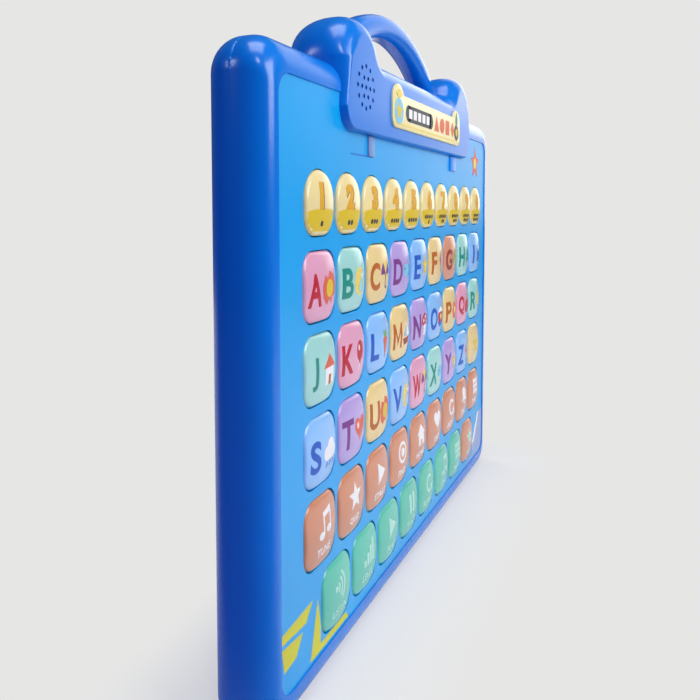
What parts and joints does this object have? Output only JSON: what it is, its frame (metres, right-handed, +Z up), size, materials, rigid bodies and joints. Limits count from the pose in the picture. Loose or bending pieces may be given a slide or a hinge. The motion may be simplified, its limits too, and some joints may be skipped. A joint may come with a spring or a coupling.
{
  "type": "toy learning computer",
  "caption": "Upright toy learning computer: rounded case with domed push keys in rows, two-humped speaker header, arched carry handle, slide switch and battery door.",
  "frame": {"origin": "middle of the case's width, on the flat strip that the board stands on, at the parting line", "axes": "+X to the right seen from the keyed front, +Y from the front to the back, +Z up"},
  "size_m": [0.32, 0.0323, 0.2875],
  "materials": {
    "case_blue": "glossy moulded blue plastic",
    "plate_blue": "satin light blue sheet",
    "key_number": "glossy cream and yellow key",
    "key_pink": "glossy pink key",
    "key_mint": "glossy mint key",
    "key_yellow": "glossy pale yellow key",
    "key_purple": "glossy lilac key",
    "key_blue": "glossy pale blue key",
    "key_orange": "glossy brown orange key",
    "key_copper": "glossy copper key",
    "key_green": "glossy sea green key",
    "badge_cream": "printed cream plaque",
    "tab_grey": "grey blue moulded tab",
    "speaker_metal": "black loudspeaker basket",
    "mat_rubber": "grey silicone mat",
    "circuit_green": "green circuit board",
    "part_black": "black components",
    "screw_steel": "zinc plated screw",
    "cell_jacket": "dry cell with a printed jacket",
    "contact_steel": "nickel plated contact",
    "switch_black": "black slide knob",
    "pad_rubber": "dark rubber pad",
    "lead_red": "red insulated lead"
  },
  "bodies": {
    "case": {"rear_shell": "case_blue", "front_frame": "case_blue", "header_cover": "case_blue", "carry_handle": "case_blue", "face_plate": "plate_blue", "header_badge": "badge_cream", "header_tabs": "tab_grey", "loudspeaker": "speaker_metal", "key_mat": "mat_rubber", "circuit_board": "circuit_green", "circuit_parts": "part_black", "board_screws": "screw_steel", "case_screws": "screw_steel", "battery_cells": "cell_jacket", "battery_contacts": "contact_steel", "power_switch_body": "part_black", "back_pads": "pad_rubber", "lead_wires": "lead_red"},
    "door": {"battery_door": "case_blue", "battery_door_screw": "screw_steel"},
    "switch": {"power_switch_knob": "switch_black"},
    "key_1": {"key_1": "key_number"},
    "key_2": {"key_2": "key_number"},
    "key_3": {"key_3": "key_number"},
    "key_4": {"key_4": "key_number"},
    "key_5": {"key_5": "key_number"},
    "key_6": {"key_6": "key_number"},
    "key_7": {"key_7": "key_number"},
    "key_8": {"key_8": "key_number"},
    "key_9": {"key_9": "key_number"},
    "key_0": {"key_0": "key_number"},
    "key_a": {"key_a": "key_pink"},
    "key_b": {"key_b": "key_mint"},
    "key_c": {"key_c": "key_yellow"},
    "key_d": {"key_d": "key_purple"},
    "key_e": {"key_e": "key_blue"},
    "key_f": {"key_f": "key_yellow"},
    "key_g": {"key_g": "key_orange"},
    "key_h": {"key_h": "key_mint"},
    "key_i": {"key_i": "key_blue"},
    "key_j": {"key_j": "key_mint"},
    "key_k": {"key_k": "key_pink"},
    "key_l": {"key_l": "key_blue"},
    "key_m": {"key_m": "key_yellow"},
    "key_n": {"key_n": "key_purple"},
    "key_o": {"key_o": "key_blue"},
    "key_p": {"key_p": "key_yellow"},
    "key_q": {"key_q": "key_pink"},
    "key_r": {"key_r": "key_mint"},
    "key_s": {"key_s": "key_blue"},
    "key_t": {"key_t": "key_purple"},
    "key_u": {"key_u": "key_yellow"},
    "key_v": {"key_v": "key_blue"},
    "key_w": {"key_w": "key_pink"},
    "key_x": {"key_x": "key_mint"},
    "key_y": {"key_y": "key_purple"},
    "key_z": {"key_z": "key_blue"},
    "key_star": {"key_star": "key_yellow"},
    "mode_keys": {"mode_keys": "key_copper"},
    "lower_keys": {"lower_keys": "key_green"}
  },
  "joints": [
    {"name": "door_hinge", "type": "hinge", "parent": "case", "child": "door", "pos_m": [0, 0.0132, 0.086], "axis": [1, 0, 0], "range_deg": [0, 40]},
    {"name": "switch_slide", "type": "slide", "parent": "case", "child": "switch", "axis": [1, 0, 0], "range_m": [-0.003, 0.003]},
    {"name": "key_1_press", "type": "slide", "parent": "case", "child": "key_1", "axis": [0, 1, 0], "range_m": [0, 0.0012], "stiffness_N_per_m": 500},
    {"name": "key_2_press", "type": "slide", "parent": "case", "child": "key_2", "axis": [0, 1, 0], "range_m": [0, 0.0012], "stiffness_N_per_m": 500},
    {"name": "key_3_press", "type": "slide", "parent": "case", "child": "key_3", "axis": [0, 1, 0], "range_m": [0, 0.0012], "stiffness_N_per_m": 500},
    {"name": "key_4_press", "type": "slide", "parent": "case", "child": "key_4", "axis": [0, 1, 0], "range_m": [0, 0.0012], "stiffness_N_per_m": 500},
    {"name": "key_5_press", "type": "slide", "parent": "case", "child": "key_5", "axis": [0, 1, 0], "range_m": [0, 0.0012], "stiffness_N_per_m": 500},
    {"name": "key_6_press", "type": "slide", "parent": "case", "child": "key_6", "axis": [0, 1, 0], "range_m": [0, 0.0012], "stiffness_N_per_m": 500},
    {"name": "key_7_press", "type": "slide", "parent": "case", "child": "key_7", "axis": [0, 1, 0], "range_m": [0, 0.0012], "stiffness_N_per_m": 500},
    {"name": "key_8_press", "type": "slide", "parent": "case", "child": "key_8", "axis": [0, 1, 0], "range_m": [0, 0.0012], "stiffness_N_per_m": 500},
    {"name": "key_9_press", "type": "slide", "parent": "case", "child": "key_9", "axis": [0, 1, 0], "range_m": [0, 0.0012], "stiffness_N_per_m": 500},
    {"name": "key_0_press", "type": "slide", "parent": "case", "child": "key_0", "axis": [0, 1, 0], "range_m": [0, 0.0012], "stiffness_N_per_m": 500},
    {"name": "key_a_press", "type": "slide", "parent": "case", "child": "key_a", "axis": [0, 1, 0], "range_m": [0, 0.0012], "stiffness_N_per_m": 500},
    {"name": "key_b_press", "type": "slide", "parent": "case", "child": "key_b", "axis": [0, 1, 0], "range_m": [0, 0.0012], "stiffness_N_per_m": 500},
    {"name": "key_c_press", "type": "slide", "parent": "case", "child": "key_c", "axis": [0, 1, 0], "range_m": [0, 0.0012], "stiffness_N_per_m": 500},
    {"name": "key_d_press", "type": "slide", "parent": "case", "child": "key_d", "axis": [0, 1, 0], "range_m": [0, 0.0012], "stiffness_N_per_m": 500},
    {"name": "key_e_press", "type": "slide", "parent": "case", "child": "key_e", "axis": [0, 1, 0], "range_m": [0, 0.0012], "stiffness_N_per_m": 500},
    {"name": "key_f_press", "type": "slide", "parent": "case", "child": "key_f", "axis": [0, 1, 0], "range_m": [0, 0.0012], "stiffness_N_per_m": 500},
    {"name": "key_g_press", "type": "slide", "parent": "case", "child": "key_g", "axis": [0, 1, 0], "range_m": [0, 0.0012], "stiffness_N_per_m": 500},
    {"name": "key_h_press", "type": "slide", "parent": "case", "child": "key_h", "axis": [0, 1, 0], "range_m": [0, 0.0012], "stiffness_N_per_m": 500},
    {"name": "key_i_press", "type": "slide", "parent": "case", "child": "key_i", "axis": [0, 1, 0], "range_m": [0, 0.0012], "stiffness_N_per_m": 500},
    {"name": "key_j_press", "type": "slide", "parent": "case", "child": "key_j", "axis": [0, 1, 0], "range_m": [0, 0.0012], "stiffness_N_per_m": 500},
    {"name": "key_k_press", "type": "slide", "parent": "case", "child": "key_k", "axis": [0, 1, 0], "range_m": [0, 0.0012], "stiffness_N_per_m": 500},
    {"name": "key_l_press", "type": "slide", "parent": "case", "child": "key_l", "axis": [0, 1, 0], "range_m": [0, 0.0012], "stiffness_N_per_m": 500},
    {"name": "key_m_press", "type": "slide", "parent": "case", "child": "key_m", "axis": [0, 1, 0], "range_m": [0, 0.0012], "stiffness_N_per_m": 500},
    {"name": "key_n_press", "type": "slide", "parent": "case", "child": "key_n", "axis": [0, 1, 0], "range_m": [0, 0.0012], "stiffness_N_per_m": 500},
    {"name": "key_o_press", "type": "slide", "parent": "case", "child": "key_o", "axis": [0, 1, 0], "range_m": [0, 0.0012], "stiffness_N_per_m": 500},
    {"name": "key_p_press", "type": "slide", "parent": "case", "child": "key_p", "axis": [0, 1, 0], "range_m": [0, 0.0012], "stiffness_N_per_m": 500},
    {"name": "key_q_press", "type": "slide", "parent": "case", "child": "key_q", "axis": [0, 1, 0], "range_m": [0, 0.0012], "stiffness_N_per_m": 500},
    {"name": "key_r_press", "type": "slide", "parent": "case", "child": "key_r", "axis": [0, 1, 0], "range_m": [0, 0.0012], "stiffness_N_per_m": 500},
    {"name": "key_s_press", "type": "slide", "parent": "case", "child": "key_s", "axis": [0, 1, 0], "range_m": [0, 0.0012], "stiffness_N_per_m": 500},
    {"name": "key_t_press", "type": "slide", "parent": "case", "child": "key_t", "axis": [0, 1, 0], "range_m": [0, 0.0012], "stiffness_N_per_m": 500},
    {"name": "key_u_press", "type": "slide", "parent": "case", "child": "key_u", "axis": [0, 1, 0], "range_m": [0, 0.0012], "stiffness_N_per_m": 500},
    {"name": "key_v_press", "type": "slide", "parent": "case", "child": "key_v", "axis": [0, 1, 0], "range_m": [0, 0.0012], "stiffness_N_per_m": 500},
    {"name": "key_w_press", "type": "slide", "parent": "case", "child": "key_w", "axis": [0, 1, 0], "range_m": [0, 0.0012], "stiffness_N_per_m": 500},
    {"name": "key_x_press", "type": "slide", "parent": "case", "child": "key_x", "axis": [0, 1, 0], "range_m": [0, 0.0012], "stiffness_N_per_m": 500},
    {"name": "key_y_press", "type": "slide", "parent": "case", "child": "key_y", "axis": [0, 1, 0], "range_m": [0, 0.0012], "stiffness_N_per_m": 500},
    {"name": "key_z_press", "type": "slide", "parent": "case", "child": "key_z", "axis": [0, 1, 0], "range_m": [0, 0.0012], "stiffness_N_per_m": 500},
    {"name": "key_star_press", "type": "slide", "parent": "case", "child": "key_star", "axis": [0, 1, 0], "range_m": [0, 0.0012], "stiffness_N_per_m": 500},
    {"name": "mode_keys_press", "type": "slide", "parent": "case", "child": "mode_keys", "axis": [0, 1, 0], "range_m": [0, 0.0012], "stiffness_N_per_m": 500},
    {"name": "lower_keys_press", "type": "slide", "parent": "case", "child": "lower_keys", "axis": [0, 1, 0], "range_m": [0, 0.0012], "stiffness_N_per_m": 500}
  ]
}
